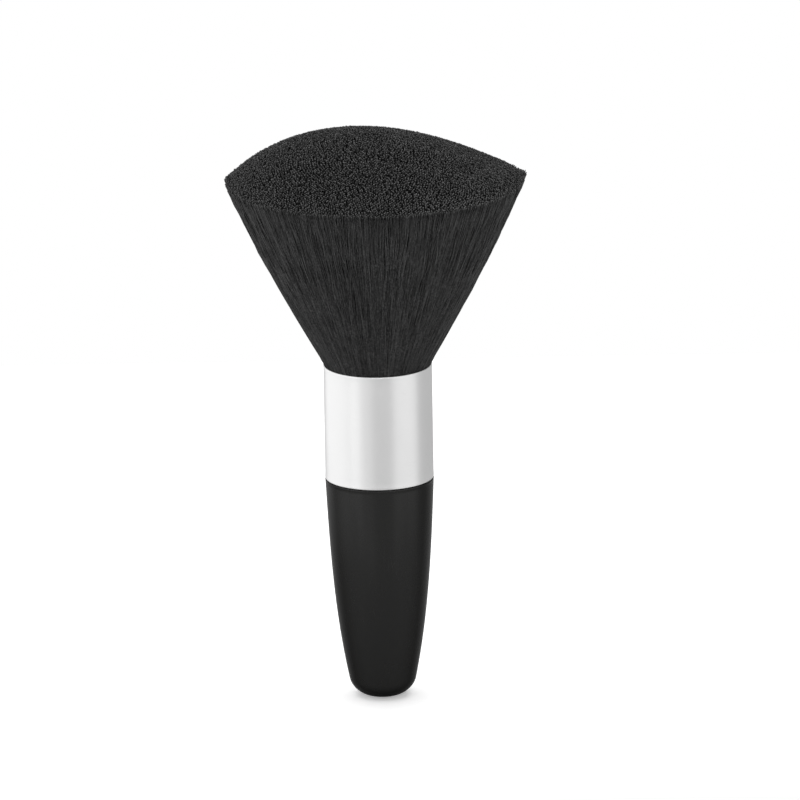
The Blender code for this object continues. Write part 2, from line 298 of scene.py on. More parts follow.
def tip_height(share, azimuth=0.0):
    """Where a bristle of a given share meets the cut: radius and height settle in a few turns.

    The hand trim leaves the dome a little fuller on -X: 0.08 of x, fading out towards the rim.
    It also leaves a point on the rim at each side, 1.5 mm high on +X and half that on -X, which
    falls off as the 60th power of cos(azimuth) and the 16th power of the share.
    """
    height = np.full_like(share, APEX)
    for _ in range(SETTLING_TURNS):
        height = dome_height(share * wall_radius(height))
    cosine = np.cos(azimuth)
    x = share * wall_radius(height) * cosine
    point = SIDE_POINT * (POINT_EVEN + POINT_RIGHT * cosine)
    point = point * cosine**POINT_SHARPNESS * share**POINT_AT_EDGE
    return height - UNEVEN_CUT * x * (1 - share**2) + point


rim_height = float(tip_height(np.array([1.0]))[0])
rim_radius = float(wall_radius(rim_height))
print(f"rim: {rim_radius / MM:.2f} mm from the axis, {rim_height / MM:.2f} mm above the mouth")

# %% [markdown]
# ## The mass of bristles
#
# Behind the bristles that can be seen lie thousands that can't. A furrowed solid stands for
# them, a little inside the wall and below the tips, so that light that gets between the outer
# bristles still lands on something dark and fibrous. It is made in two pieces that meet on a
# level plane, one for the stretch of each of the tuft's two joints: the lower piece from the
# grip to the belly and the upper from the belly to the crown.

# %% The solid behind the bristles
SPLIT_HEIGHT = 14.0 * MM
ROOT_DEPTH = 6.0 * MM
MASS_SHARE = 0.95
MASS_BELOW_TIPS = 1.6 * MM
FURROW_DEPTH = 0.012
FURROW_COUNTS = (61, 97, 143)
MASS_COLUMNS = 384
LOWER_MASS_RINGS = 20
UPPER_MASS_RINGS = 30
FIRST_SHARE = 0.04


def furrowed(outline_share, heights, angle):
    """Share times the wall's radius, times 1 plus three rows of sine furrows round the axis."""
    furrow = sum(np.sin(count * angle + count) for count in FURROW_COUNTS) / len(FURROW_COUNTS)
    return outline_share * wall_radius(np.maximum(heights, 0)) * (1 + FURROW_DEPTH * furrow)


def mass_piece(name, shares, heights):
    """A closed solid with a pole at each end: one share a ring, one height a ring and column."""
    columns = heights.shape[1]
    angle = np.linspace(0, math.tau, columns, endpoint=False)
    shares = shares[:, None]
    radius = furrowed(shares, heights, angle)
    grid = np.stack(
        [radius * np.cos(angle), radius * np.sin(angle), MOUTH[2] + heights], -1
    ).reshape(-1, 3)
    faces = ring_faces(len(shares), columns).tolist() + pole_fans(len(shares), columns)
    ends = [[0, 0, MOUTH[2] + heights[0].mean()], [0, 0, MOUTH[2] + heights[-1].mean()]]
    return mesh_object(name, np.vstack([grid, ends]), faces)


mass_angle = np.linspace(0, math.tau, MASS_COLUMNS, endpoint=False)
lower_shares = np.full(LOWER_MASS_RINGS, MASS_SHARE)
lower_heights = np.linspace(SPLIT_HEIGHT, -ROOT_DEPTH, LOWER_MASS_RINGS)[:, None] + 0 * mass_angle
mass_lower = mass_piece("bristle_mass_lower", lower_shares, lower_heights)
dome_shares = np.linspace(FIRST_SHARE, MASS_SHARE, UPPER_MASS_RINGS)
dome_heights = tip_height(dome_shares[:, None] + 0 * mass_angle, mass_angle) - MASS_BELOW_TIPS
side_step = np.linspace(0, 1, UPPER_MASS_RINGS)[1:, None]
side_heights = dome_heights[-1] * (1 - side_step) + SPLIT_HEIGHT * side_step
mass_upper = mass_piece(
    "bristle_mass_upper",
    np.concatenate([dome_shares, np.full(len(side_step), MASS_SHARE)]),
    np.vstack([dome_heights, side_heights]),
)
print("bristle mass:", len(mass_lower.data.polygons) + len(mass_upper.data.polygons), "faces")

# %% [markdown]
# ## One bristle, many times
#
# A bristle is a thin tube along a path. It isn't quite straight: it sways a little to the side
# and in and out of the tuft, and the sway grows from nothing at the mouth. A short one may also
# be tilted about its tip. The path is a function of height alone, so a bristle can be cut at the
# split height and both halves still meet exactly. All the tubes of one piece are computed as a
# single array of bristles by rings by sides by coordinates.

# %% Tubes along many paths
rng = np.random.default_rng(20)
SWAY_FULL_HEIGHT = 30 * MM
SWAY_GROWTH = 1.5
WAVE_SHORTEST, WAVE_LONGEST = 2.2 * MM, 5.0 * MM
DEPTH_WAVE_RATE = 1.7
TILT_FADE = 6
LEAST_RADIUS = 2 * MM
UPRIGHT = 1e-3


def make_bristles(count, share, azimuth, side_sway, depth_sway, lean, radius, tilt=0.0, tone=1.0):
    """The facts of some bristles: where they stand, how they sway, lean and tilt, and their tone."""
    return {
        "tilt": tilt * rng.normal(size=(2, count)),
        "top": np.full(count, APEX),
        "share": share,
        "azimuth": azimuth,
        "side_sway": side_sway * rng.normal(size=count),
        "depth_sway": depth_sway * rng.normal(size=count),
        "lean": lean * rng.normal(size=count),
        "wave": rng.uniform(WAVE_SHORTEST, WAVE_LONGEST, count),
        "phase": rng.uniform(0, math.tau, (2, count)),
        "roll": rng.uniform(0, math.tau, count),
        "radius": rng.uniform(*radius, count),
        "tone": tone * rng.uniform(0, 1, count),
    }


def pick(bristles, mask):
    """The same facts for some of the bristles only."""
    return {key: value[..., mask] for key, value in bristles.items()}


def path(bristles, height):
    """Points of the bristles at the given heights above the mouth, one row for each bristle.

    Radius = share * wall + depth sway * sin(height / wave), and azimuth gains
    (side sway * sin(height / wave) + lean) / radius, all faded in over the first 30 mm. The
    tilt shifts a point by tilt * (top - height) in X and Y, and fades out towards the wall.
    """
    grow = np.clip(height / SWAY_FULL_HEIGHT, 0, 1) ** SWAY_GROWTH
    turn = height / bristles["wave"][:, None]
    side = np.sin(turn + bristles["phase"][0][:, None]) * bristles["side_sway"][:, None]
    depth = np.sin(turn * DEPTH_WAVE_RATE + bristles["phase"][1][:, None])
    depth = depth * bristles["depth_sway"][:, None]
    share = bristles["share"][:, None]
    radius = share * wall_radius(np.maximum(height, 0)) + depth * grow
    turned_by = (side + bristles["lean"][:, None]) * grow / np.maximum(radius, LEAST_RADIUS)
    azimuth = bristles["azimuth"][:, None] + turned_by
    below = bristles["top"][:, None] - height
    shift_x, shift_y = bristles["tilt"][:, :, None] * below * (1 - share**TILT_FADE)
    x = radius * np.cos(azimuth) + shift_x
    y = radius * np.sin(azimuth) + shift_y
    return np.stack([x, y, MOUTH[2] + height], -1)


def tube_points(bristles, height, sides):
    """Rings round the paths: centre + radius * (cos a * across + sin a * outward).

    Across is level and square to the path. A path that is all but upright has no such
    direction of its own, and takes the one along its circle round the axis.
    """
    centre = path(bristles, height)
    along = np.gradient(centre, axis=1)
    along /= np.linalg.norm(along, axis=-1, keepdims=True)
    across = np.cross(along, np.array([0.0, 0.0, 1.0]) + 0 * along)
    sideways = np.stack([-np.sin(bristles["azimuth"]), np.cos(bristles["azimuth"])], -1)
    across = np.where(
        np.linalg.norm(across, axis=-1, keepdims=True) > UPRIGHT,
        across,
        np.concatenate([sideways, np.zeros((len(sideways), 1))], -1)[:, None, :],
    )
    across /= np.linalg.norm(across, axis=-1, keepdims=True)
    outward = np.cross(across, along)
    angle = bristles["roll"][:, None] + np.linspace(0, math.tau, sides, endpoint=False)
    cosine, sine = np.cos(angle)[:, None, :, None], np.sin(angle)[:, None, :, None]
    spread = cosine * across[:, :, None, :] + sine * outward[:, :, None, :]
    return centre[:, :, None, :] + bristles["radius"][:, None, None, None] * spread


def tube_mesh(name, bristles, tops, height, sides):
    """A mesh object of closed tubes, with each point's tone and its depth below the tip kept.

    Point numbers run bristle, ring, side. Each tube has quads between rings and a flat polygon
    at each end, shaded flat so that the cut tips catch the light on their own.
    """
    points = tube_points(bristles, height, sides)
    count, rings = points.shape[:2]
    start = (np.arange(count) * rings * sides)[:, None, None]
    lower = start + np.arange(rings - 1)[None, :, None] * sides
    upper = lower + sides
    j = np.arange(sides)[None, None, :]
    beside = (j + 1) % sides
    quads = np.stack([lower + j, lower + beside, upper + beside, upper + j], -1).reshape(-1, 4)
    foot = (start[:, 0] + np.arange(sides)[::-1]).reshape(-1, sides)
    head = (start[:, 0] + (rings - 1) * sides + np.arange(sides)).reshape(-1, sides)
    corners = np.concatenate([quads.ravel(), foot.ravel(), head.ravel()])
    totals = np.concatenate([np.full(len(quads), 4), np.full(2 * count, sides)])
    starts = np.concatenate([[0], np.cumsum(totals)[:-1]])

    mesh = bpy.data.meshes.new(name)
    mesh.vertices.add(points.size // 3)
    mesh.vertices.foreach_set("co", points.astype(np.float32).ravel())
    mesh.loops.add(len(corners))
    mesh.loops.foreach_set("vertex_index", corners.astype(np.int32))
    mesh.polygons.add(len(totals))
    mesh.polygons.foreach_set("loop_start", starts.astype(np.int32))
    mesh.polygons.foreach_set("loop_total", totals.astype(np.int32))
    mesh.update(calc_edges=True)
    smooth = np.concatenate([np.ones(len(quads), bool), np.zeros(2 * count, bool)])
    mesh.polygons.foreach_set("use_smooth", smooth)
    mark_cap_edges(mesh, rings, sides)
    keep_value(mesh, "tone", np.repeat(bristles["tone"], rings * sides))
    keep_value(mesh, "below_tip", np.repeat((tops[:, None] - height).ravel(), sides))
    piece = bpy.data.objects.new(name, mesh)
    bpy.context.scene.collection.objects.link(piece)
    return piece


def mark_cap_edges(mesh, rings, sides):
    """Mark the edges round both ends of every tube as sharp, so the caps don't tilt the shading."""
    ends = np.empty(len(mesh.edges) * 2, np.int32)
    mesh.edges.foreach_get("vertices", ends)
    ring = (ends.reshape(-1, 2) // sides) % rings
    capped = (ring[:, 0] == ring[:, 1]) & ((ring[:, 0] == 0) | (ring[:, 0] == rings - 1))
    sharp = mesh.attributes.new("sharp_edge", "BOOLEAN", "EDGE")
    sharp.data.foreach_set("value", capped)


def keep_value(mesh, name, values):
    """Store one number a point under a name that a material can read."""
    attribute = mesh.attributes.new(name, "FLOAT", "POINT")
    attribute.data.foreach_set("value", np.asarray(values, np.float32))


# %% [markdown]
# ## Where the bristles stand
#
# Two populations are enough. The side bristles run the whole way from the mouth to the rim, in
# a skin a few bristles deep. The tip bristles show only their last few millimetres, all over
# the dome, and lie at odd tilts, which gives the cut its felted look. Both are spread by the
# golden angle, which fills a disc evenly with no rows, and then jittered. Clippers never cut
# perfectly level, so each tip stops a little short of the sphere, some of them by more. The side
# bristles end more raggedly, and lower the deeper they stand, so the rim isn't a ruled line.

# %% Spread the bristles
GOLDEN_ANGLE = math.pi * (3 - math.sqrt(5))
SIDE_COUNT = 7500
TIP_COUNT = 13000
SKIN_DEPTH = 0.065
SKIN_CROWDING = 1.4
TIP_REACH = 1 - SKIN_DEPTH * 0.1
TIP_SHORTFALL = 0.13 * MM
TIP_STRAY_SHARE = 0.06
TIP_STRAY = 0.9 * MM
SIDE_RAGGED = 3.0
SIDE_INNER_DROP = 0.8 * MM

side_order = np.arange(SIDE_COUNT)
side_bristles = make_bristles(
    SIDE_COUNT,
    share=1 - SKIN_DEPTH * rng.uniform(0, 1, SIDE_COUNT) ** SKIN_CROWDING,
    azimuth=(side_order * GOLDEN_ANGLE) % math.tau,
    side_sway=0.26 * MM,
    depth_sway=0.16 * MM,
    lean=2.0 * MM,
    radius=(0.10 * MM, 0.15 * MM),
)
tip_order = np.arange(TIP_COUNT) + 0.5
# The tip bristles' tone is scaled by 0.74: painted shade that darkens the dome, which the overhead
# light makes brighter than the side.
tip_bristles = make_bristles(
    TIP_COUNT,
    share=np.sqrt(tip_order / TIP_COUNT) * TIP_REACH,
    azimuth=(tip_order * GOLDEN_ANGLE) % math.tau,
    side_sway=0.16 * MM,
    depth_sway=0.16 * MM,
    lean=0.10 * MM,
    radius=(0.15 * MM, 0.21 * MM),
    tilt=0.16,
    tone=0.74,
)


def shortfall(count):
    """How far each tip stops below the sphere: half a bell curve, and a few strays."""
    stray = rng.uniform(size=count) < TIP_STRAY_SHARE
    return np.abs(rng.normal(0, TIP_SHORTFALL, count)) + stray * rng.uniform(0, TIP_STRAY, count)


side_tip_azimuth = side_bristles["azimuth"] + side_bristles["lean"] / rim_radius
side_top = tip_height(side_bristles["share"], side_tip_azimuth)
side_depth = (1 - side_bristles["share"]) / SKIN_DEPTH
side_top -= shortfall(SIDE_COUNT) * SIDE_RAGGED + SIDE_INNER_DROP * side_depth
tip_top = tip_height(tip_bristles["share"], tip_bristles["azimuth"]) - shortfall(TIP_COUNT)
tip_bristles["top"] = tip_top
print(SIDE_COUNT, "side bristles and", TIP_COUNT, "tip bristles")

# %% [markdown]
# ## Locks
#
# The model groups the bristles in sixteen locks: one on the axis, a ring of five and a ring of
# ten. Each lock's bristles become one mesh that stands for that lock, so the tuft still comes
# apart the way the model says. Below the split height the bristles are too tight to tell apart,
# and four quarters of the neck are enough.

# %% Cut the bristles into pieces
CENTRE_SHARE = 0.30
INNER_SHARE = 0.66
TIP_LENGTH = 6.0 * MM
NECK_QUARTERS = 4
NECK_DEPTH = ROOT_DEPTH * 0.6
LOWER_RINGS, UPPER_RINGS, TIP_RINGS = 7, 18, 2
SIDE_SIDES, TIP_SIDES = 3, 5
OVERLAP = 0.6 * MM


def sector(azimuth, count):
    """Which of the equal sectors round the axis an angle falls in."""
    return np.floor(azimuth / (math.tau / count)).astype(int) % count


def heights_between(low, high, rings):
    """Evenly spaced heights for each bristle, from its own low end to its own high end."""
    step = np.linspace(0, 1, rings)[None, :]
    return np.asarray(low)[:, None] * (1 - step) + np.asarray(high)[:, None] * step


def join(first, second):
    """Join the second mesh object into the first."""
    with bpy.context.temp_override(
        active_object=first, selected_editable_objects=[first, second]
    ):
        bpy.ops.object.join()
    return first


def tip_piece(name, mask):
    """The tip bristles of one lock."""
    tops = tip_top[mask]
    heights = heights_between(tops - TIP_LENGTH, tops, TIP_RINGS)
    return tube_mesh(name, pick(tip_bristles, mask), tops, heights, TIP_SIDES)


def side_piece(name, mask):
    """The side bristles of one outer lock, from the split height up."""
    tops = side_top[mask]
    heights = heights_between(np.full(mask.sum(), SPLIT_HEIGHT - OVERLAP), tops, UPPER_RINGS)
    return tube_mesh(name, pick(side_bristles, mask), tops, heights, SIDE_SIDES)


tip_share = tip_bristles["share"]
locks = {"crown_lock_centre": tip_piece("bristles_centre", tip_share < CENTRE_SHARE)}
in_ring = (tip_share >= CENTRE_SHARE) & (tip_share < INNER_SHARE)
for index in range(INNER_LOCKS):
    mask = in_ring & (sector(tip_bristles["azimuth"], INNER_LOCKS) == index)
    locks[f"crown_lock_inner_{index + 1}"] = tip_piece(f"bristles_inner_{index + 1}", mask)
for index in range(OUTER_LOCKS):
    tips = (tip_share >= INNER_SHARE) & (sector(tip_bristles["azimuth"], OUTER_LOCKS) == index)
    sides = sector(side_bristles["azimuth"], OUTER_LOCKS) == index
    lock = side_piece(f"bristles_outer_{index + 1}", sides)
    locks[f"crown_lock_outer_{index + 1}"] = join(lock, tip_piece(f"tips_{index + 1}", tips))

neck = []
for index in range(NECK_QUARTERS):
    mask = sector(side_bristles["azimuth"], NECK_QUARTERS) == index
    low, high = np.full(mask.sum(), -NECK_DEPTH), np.full(mask.sum(), SPLIT_HEIGHT + OVERLAP)
    heights = heights_between(low, high, LOWER_RINGS)
    quarter = pick(side_bristles, mask)
    neck.append(tube_mesh(f"bristles_neck_{index + 1}", quarter, side_top[mask], heights, SIDE_SIDES))
print(len(locks), "locks and", len(neck), "neck quarters,",
      sum(len(p.data.polygons) for p in [*locks.values(), *neck]), "faces")

# %% [markdown]
# ## The tuft's pieces in place
#
# The tuft's first joint turns the belly on the grip and its second turns the crown on the
# belly, both about the middle of the mouth. Each piece of the tuft has its placement baked into
# its mesh, and the model's own tuft parts, which the pieces replace, are hidden.


for piece in [mass_lower, *neck]:
    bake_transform(piece)
for piece in [mass_upper, *locks.values()]:
    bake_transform(piece)
for node, piece in locks.items():
    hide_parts(node)
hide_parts("bristle_root", "bristle_belly")
print("blended", 2 + len(neck) + len(locks), "pieces of the tuft")

# %% [markdown]
# ## Materials
#
# Three finishes carry the picture: satin black plastic, satin aluminium and black nylon fibre.
# None of them is one flat colour in life. A shared node group makes a value that drifts over
# the surface, for roughness and tint, and another makes fine rubbed marks, and each material
# places them with its own numbers. The handle's shine also fades where the barrel turns away
# from the eye, as it does on a finely textured moulding.

# %% Helpers that make nodes


def add_node(tree, kind, inputs=None, **settings):
    """A node of one kind. Its inputs are given as values, or as sockets to link from."""
    made = tree.nodes.new(kind)
    for key, value in settings.items():
        setattr(made, key, value)
    for key, value in (inputs or {}).items():
        if isinstance(value, bpy.types.NodeSocket):
            tree.links.new(value, made.inputs[key])
        else:
            made.inputs[key].default_value = value
    return made


def math_node(tree, operation, first, second=0.0):
    """A Math node's result."""
    made = add_node(tree, "ShaderNodeMath", {0: first, 1: second}, operation=operation)
    return made.outputs[0]


def even(value):
    """A neutral colour."""
    return (value, value, value)


def new_group(name, inputs, outputs):
    """An empty shader node group with named number sockets, and its two end nodes."""
    tree = bpy.data.node_groups.new(name, "ShaderNodeTree")
    for socket_name, kind, value in inputs:
        socket = tree.interface.new_socket(socket_name, in_out="INPUT", socket_type=kind)
        if value is not None:
            socket.default_value = value
    for socket_name, kind in outputs:
        tree.interface.new_socket(socket_name, in_out="OUTPUT", socket_type=kind)
    return tree, tree.nodes.new("NodeGroupInput"), tree.nodes.new("NodeGroupOutput")


def use_group(tree, group, inputs):
    """One use of a group in a material."""
    return add_node(tree, "ShaderNodeGroup", inputs, node_tree=group)


# %% The shared groups


def make_drift_group():
    """Value = Middle + Spread * (noise - 0.5) * 2, on two scales of noise at once."""
    tree, source, result = new_group(
        "drift",
        [("Vector", "NodeSocketVector", None), ("Scale", "NodeSocketFloat", 100.0),
         ("Middle", "NodeSocketFloat", 0.5), ("Spread", "NodeSocketFloat", 0.1)],
        [("Value", "NodeSocketFloat")],
    )
    noise = add_node(tree, "ShaderNodeTexNoise", {
        "Vector": source.outputs["Vector"], "Scale": source.outputs["Scale"],
        "Detail": 4.0, "Roughness": 0.62,
    })
    centred = math_node(tree, "SUBTRACT", noise.outputs["Fac"], 0.5)
    spread = math_node(tree, "MULTIPLY", source.outputs["Spread"], 2.0)
    moved = math_node(tree, "MULTIPLY", centred, spread)
    total = math_node(tree, "ADD", moved, source.outputs["Middle"])
    tree.links.new(total, result.inputs["Value"])
    return tree


def make_marks_group():
    """Fine rubbed marks: thin ridges of a stretched noise, kept only where a slow noise is high."""
    tree, source, result = new_group(
        "rubbed_marks",
        [("Vector", "NodeSocketVector", None), ("Stretch", "NodeSocketVector", (1.0, 1.0, 1.0)),
         ("Scale", "NodeSocketFloat", 300.0), ("Width", "NodeSocketFloat", 0.02)],
        [("Mask", "NodeSocketFloat")],
    )
    stretched = add_node(tree, "ShaderNodeVectorMath", {
        0: source.outputs["Vector"], 1: source.outputs["Stretch"],
    }, operation="MULTIPLY")
    lines = add_node(tree, "ShaderNodeTexNoise", {
        "Vector": stretched.outputs[0], "Scale": source.outputs["Scale"], "Detail": 2.0,
    })
    offset = math_node(tree, "SUBTRACT", lines.outputs["Fac"], 0.5)
    distance = math_node(tree, "ABSOLUTE", offset)
    ridge = add_node(tree, "ShaderNodeMapRange", {
        "Value": distance, "From Min": 0.0, "From Max": source.outputs["Width"],
        "To Min": 1.0, "To Max": 0.0,
    }, interpolation_type="SMOOTHSTEP")
    patches = add_node(tree, "ShaderNodeTexNoise", {
        "Vector": source.outputs["Vector"], "Scale": 90.0, "Detail": 3.0,
    })
    where = add_node(tree, "ShaderNodeMapRange", {
        "Value": patches.outputs["Fac"], "From Min": 0.52, "From Max": 0.68,
    })
    mask = math_node(tree, "MULTIPLY", ridge.outputs["Result"], where.outputs["Result"])
    tree.links.new(mask, result.inputs["Mask"])
    return tree


DRIFT = make_drift_group()
MARKS = make_marks_group()
print("node groups:", DRIFT.name, MARKS.name)

# %% Materials of the handle and the ferrule
GRAIN_DEPTH = 0.03 * MM
TURNING_DEPTH = 0.004 * MM
HANDLE_RUB, HANDLE_RUB_ROUGHNESS = 0.35, 0.12
FERRULE_RUB, FERRULE_LINE_ROUGHNESS = 0.25, 0.08


def new_material(name, **values):
    """A material with a Principled shader, whose plain values are set on its own sockets."""
    material = bpy.data.materials.new(name)
    material.use_nodes = True
    tree = material.node_tree
    shader = tree.nodes["Principled BSDF"]
    for key, value in values.items():
        shader.inputs[key.replace("_", " ")].default_value = value
    place = tree.nodes.new("ShaderNodeTexCoord").outputs["Object"]
    return material, tree, shader, place


def mix_colors(tree, amount, first, second):
    """A colour between two, by an amount."""
    mixed = add_node(tree, "ShaderNodeMix", {"Factor": amount}, data_type="RGBA")
    for socket, value in zip([s for s in mixed.inputs if s.type == "RGBA"], (first, second)):
        if isinstance(value, bpy.types.NodeSocket):
            tree.links.new(value, socket)
        else:
            socket.default_value = (*value, 1.0)
    return [s for s in mixed.outputs if s.type == "RGBA"][0]


def bump(tree, height, distance, strength=1.0):
    """A normal pushed about by a height."""
    made = add_node(tree, "ShaderNodeBump", {
        "Height": height, "Distance": distance, "Strength": strength,
    })
    return made.outputs["Normal"]


def make_handle_material():
    """Satin black plastic: fine moulded grain, patchy gloss, faint rubs, less shine at a slant."""
    material, tree, shader, place = new_material("satin_black_plastic", IOR=1.42)
    tint = use_group(tree, DRIFT, {"Vector": place, "Scale": 45.0, "Middle": 0.5, "Spread": 0.6})
    color = mix_colors(tree, tint.outputs[0], (0.0078, 0.0078, 0.0074), (0.0102, 0.0101, 0.0095))
    rub = use_group(tree, MARKS, {
        "Vector": place, "Stretch": (1.0, 1.0, 0.16), "Scale": 420.0, "Width": 0.012,
    })
    wear = math_node(tree, "MULTIPLY", rub.outputs[0], HANDLE_RUB)
    wear_and_painted_glint = mix_colors(tree, wear, color, (0.03, 0.03, 0.029))
    tree.links.new(wear_and_painted_glint, shader.inputs["Base Color"])
    gloss = use_group(tree, DRIFT, {"Vector": place, "Scale": 70.0, "Middle": 0.27, "Spread": 0.06})
    rougher = math_node(tree, "MULTIPLY", rub.outputs[0], HANDLE_RUB_ROUGHNESS)
    total = math_node(tree, "ADD", gloss.outputs[0], rougher)
    tree.links.new(total, shader.inputs["Roughness"])
    slant = add_node(tree, "ShaderNodeLayerWeight", {"Blend": 0.5})
    shine = add_node(tree, "ShaderNodeMapRange", {
        "Value": slant.outputs["Facing"], "From Min": 0.14, "From Max": 0.50,
        "To Min": 0.5, "To Max": 0.08,
    }, interpolation_type="SMOOTHSTEP")
    tree.links.new(shine.outputs["Result"], shader.inputs["Specular IOR Level"])
    grain = add_node(tree, "ShaderNodeTexNoise", {"Vector": place, "Scale": 2600.0, "Detail": 2.0})
    normal = bump(tree, grain.outputs["Fac"], GRAIN_DEPTH, strength=0.35)
    tree.links.new(normal, shader.inputs["Normal"])
    return material


def make_ferrule_material():
    """Satin aluminium: fine lines round the sleeve from turning, faint rubs and patchy gloss."""
    material, tree, shader, place = new_material("satin_aluminium", Metallic=1.0)
    tint = use_group(tree, DRIFT, {"Vector": place, "Scale": 60.0, "Middle": 0.5, "Spread": 0.5})
    color = mix_colors(tree, tint.outputs[0], (0.87, 0.87, 0.87), (0.91, 0.91, 0.91))
    rub = use_group(tree, MARKS, {
        "Vector": place, "Stretch": (0.3, 0.3, 1.0), "Scale": 500.0, "Width": 0.010,
    })
    wear = math_node(tree, "MULTIPLY", rub.outputs[0], FERRULE_RUB)
    dulled = mix_colors(tree, wear, color, (0.72, 0.72, 0.73))
    tree.links.new(dulled, shader.inputs["Base Color"])
    stretched = add_node(tree, "ShaderNodeVectorMath", {
        0: place, 1: (0.01, 0.01, 1.0),
    }, operation="MULTIPLY")
    lines = add_node(tree, "ShaderNodeTexNoise", {
        "Vector": stretched.outputs[0], "Scale": 5200.0, "Detail": 3.0, "Roughness": 0.7,
    })
    gloss = use_group(tree, DRIFT, {"Vector": place, "Scale": 110.0, "Middle": 0.30, "Spread": 0.04})
    line_gloss = math_node(tree, "MULTIPLY", lines.outputs["Fac"], FERRULE_LINE_ROUGHNESS)
    tree.links.new(math_node(tree, "ADD", gloss.outputs[0], line_gloss), shader.inputs["Roughness"])
    normal = bump(tree, lines.outputs["Fac"], TURNING_DEPTH, strength=0.5)
    tree.links.new(normal, shader.inputs["Normal"])
    return material


def give(piece, material):
    """Put one material on a piece."""
    piece.data.materials.clear()
    piece.data.materials.append(material)


give(handle, make_handle_material())
give(ferrule, make_ferrule_material())
print("handle and ferrule have their finishes")

# %% [markdown]
# ## Bristle fibre
#
# A nylon bristle is black and slightly shiny, so what is seen is mostly its long highlight.
# Neighbours differ a little in tone, and each one dims and brightens along its length as it
# dips between the others, which a fine noise paints into its colour as dashes of highlight and
# shade. The tone of a bristle is stored on its mesh. The stretch below the cut is painted a
# little paler than the rest, as painted light on the top of the tuft, and the cut end itself
# is painted the palest, as a painted highlight. The mass behind them gets a duller, darker
# version, whose darkness is painted shade.

# %% Materials of the tuft
OWN_TONE_POWER = 1.7
OWN_TONE_WEIGHT = 0.58
CUT_ZONE = 1.0 * MM
GLOSS_SPREAD = 0.3
MASS_TONE = 0.3


def make_bristle_material(name, dark, light, cut, roughness, specular):
    """Black fibre: a tone for each bristle, painted highlight and shade in dashes along it, slow
    drift, painted light on the upper stretch and a painted highlight in the cut colour at the end.
    """
    material, tree, shader, place = new_material(name, Specular_IOR_Level=specular)
    tone = add_node(tree, "ShaderNodeAttribute", attribute_name="tone").outputs["Fac"]
    depth = add_node(tree, "ShaderNodeAttribute", attribute_name="below_tip").outputs["Fac"]
    stretched = add_node(tree, "ShaderNodeVectorMath", {
        0: place, 1: (1.0, 1.0, 0.90),
    }, operation="MULTIPLY")
    dash = add_node(tree, "ShaderNodeTexNoise", {
        "Vector": stretched.outputs[0], "Scale": 1900.0, "Detail": 2.0,
    })
    patch = use_group(tree, DRIFT, {"Vector": place, "Scale": 120.0, "Middle": 0.5, "Spread": 0.8})
    # Painted highlight and shade: these dashes lighten and darken each bristle's colour along its
    # length.
    painted_highlight_dashes = add_node(tree, "ShaderNodeMapRange", {
        "Value": dash.outputs["Fac"], "From Min": 0.40, "From Max": 0.66,
    })
    along = math_node(tree, "MULTIPLY", painted_highlight_dashes.outputs["Result"], patch.outputs[0])
    own = math_node(tree, "POWER", tone, OWN_TONE_POWER)
    amount = math_node(tree, "ADD", math_node(tree, "MULTIPLY", own, OWN_TONE_WEIGHT), along)
    # Painted light: from 1 mm below each tip the bristle is painted paler, fading out by 38 mm down.
    painted_light_top = add_node(tree, "ShaderNodeMapRange", {
        "Value": depth, "From Min": 4 * MM, "From Max": 38 * MM, "To Min": 0.22, "To Max": 0.0,
    })
    under_cut = math_node(tree, "GREATER_THAN", depth, CUT_ZONE)
    paler = math_node(tree, "MULTIPLY", painted_light_top.outputs["Result"], under_cut)
    amount = math_node(tree, "ADD", amount, paler)
    body = mix_colors(tree, amount, dark, light)
    # Painted highlight: the last half millimetre of each bristle is mixed towards the cut colour,
    # more on lighter bristles.
    pale = add_node(tree, "ShaderNodeMapRange", {
        "Value": depth, "From Min": 0.1 * MM, "From Max": 0.6 * MM, "To Min": 1.0, "To Max": 0.0,
    }, interpolation_type="SMOOTHSTEP")
    wear_and_painted_glint = math_node(tree, "MULTIPLY", pale.outputs["Result"], own)
    tree.links.new(mix_colors(tree, wear_and_painted_glint, body, cut), shader.inputs["Base Color"])
    gloss = math_node(tree, "MULTIPLY", dash.outputs["Fac"], GLOSS_SPREAD)
    least = roughness - GLOSS_SPREAD / 2
    tree.links.new(math_node(tree, "ADD", gloss, least), shader.inputs["Roughness"])
    return material


fibre = make_bristle_material(
    "black_nylon_fibre", even(0.005), even(0.077), even(0.105), roughness=0.5, specular=0.3
)
# The bristle mass stands for the hidden bristles; the darker, duller fibre on it is painted shade of
# the tuft's inside.
painted_shade_fibre = make_bristle_material(
    "deep_black_fibre", even(0.002), even(0.008), even(0.01), roughness=0.7, specular=0.15
)
for piece in [*locks.values(), *neck]:
    give(piece, fibre)
for piece in (mass_lower, mass_upper):
    keep_value(piece.data, "tone", np.full(len(piece.data.vertices), MASS_TONE))
    keep_value(piece.data, "below_tip", np.full(len(piece.data.vertices), MASS_BELOW_TIPS))
    give(piece, painted_shade_fibre)
print("bristles have their fibre")

# %% [markdown]
# ## What the ferrule hides
#
# The resin, the glue and the binding thread are in the model because the brush couldn't hold
# together without them. Nothing shows them from outside, but the model can be taken apart, so
# they get honest finishes on the surfaces that the model already has.

# %% Materials of the hidden pieces


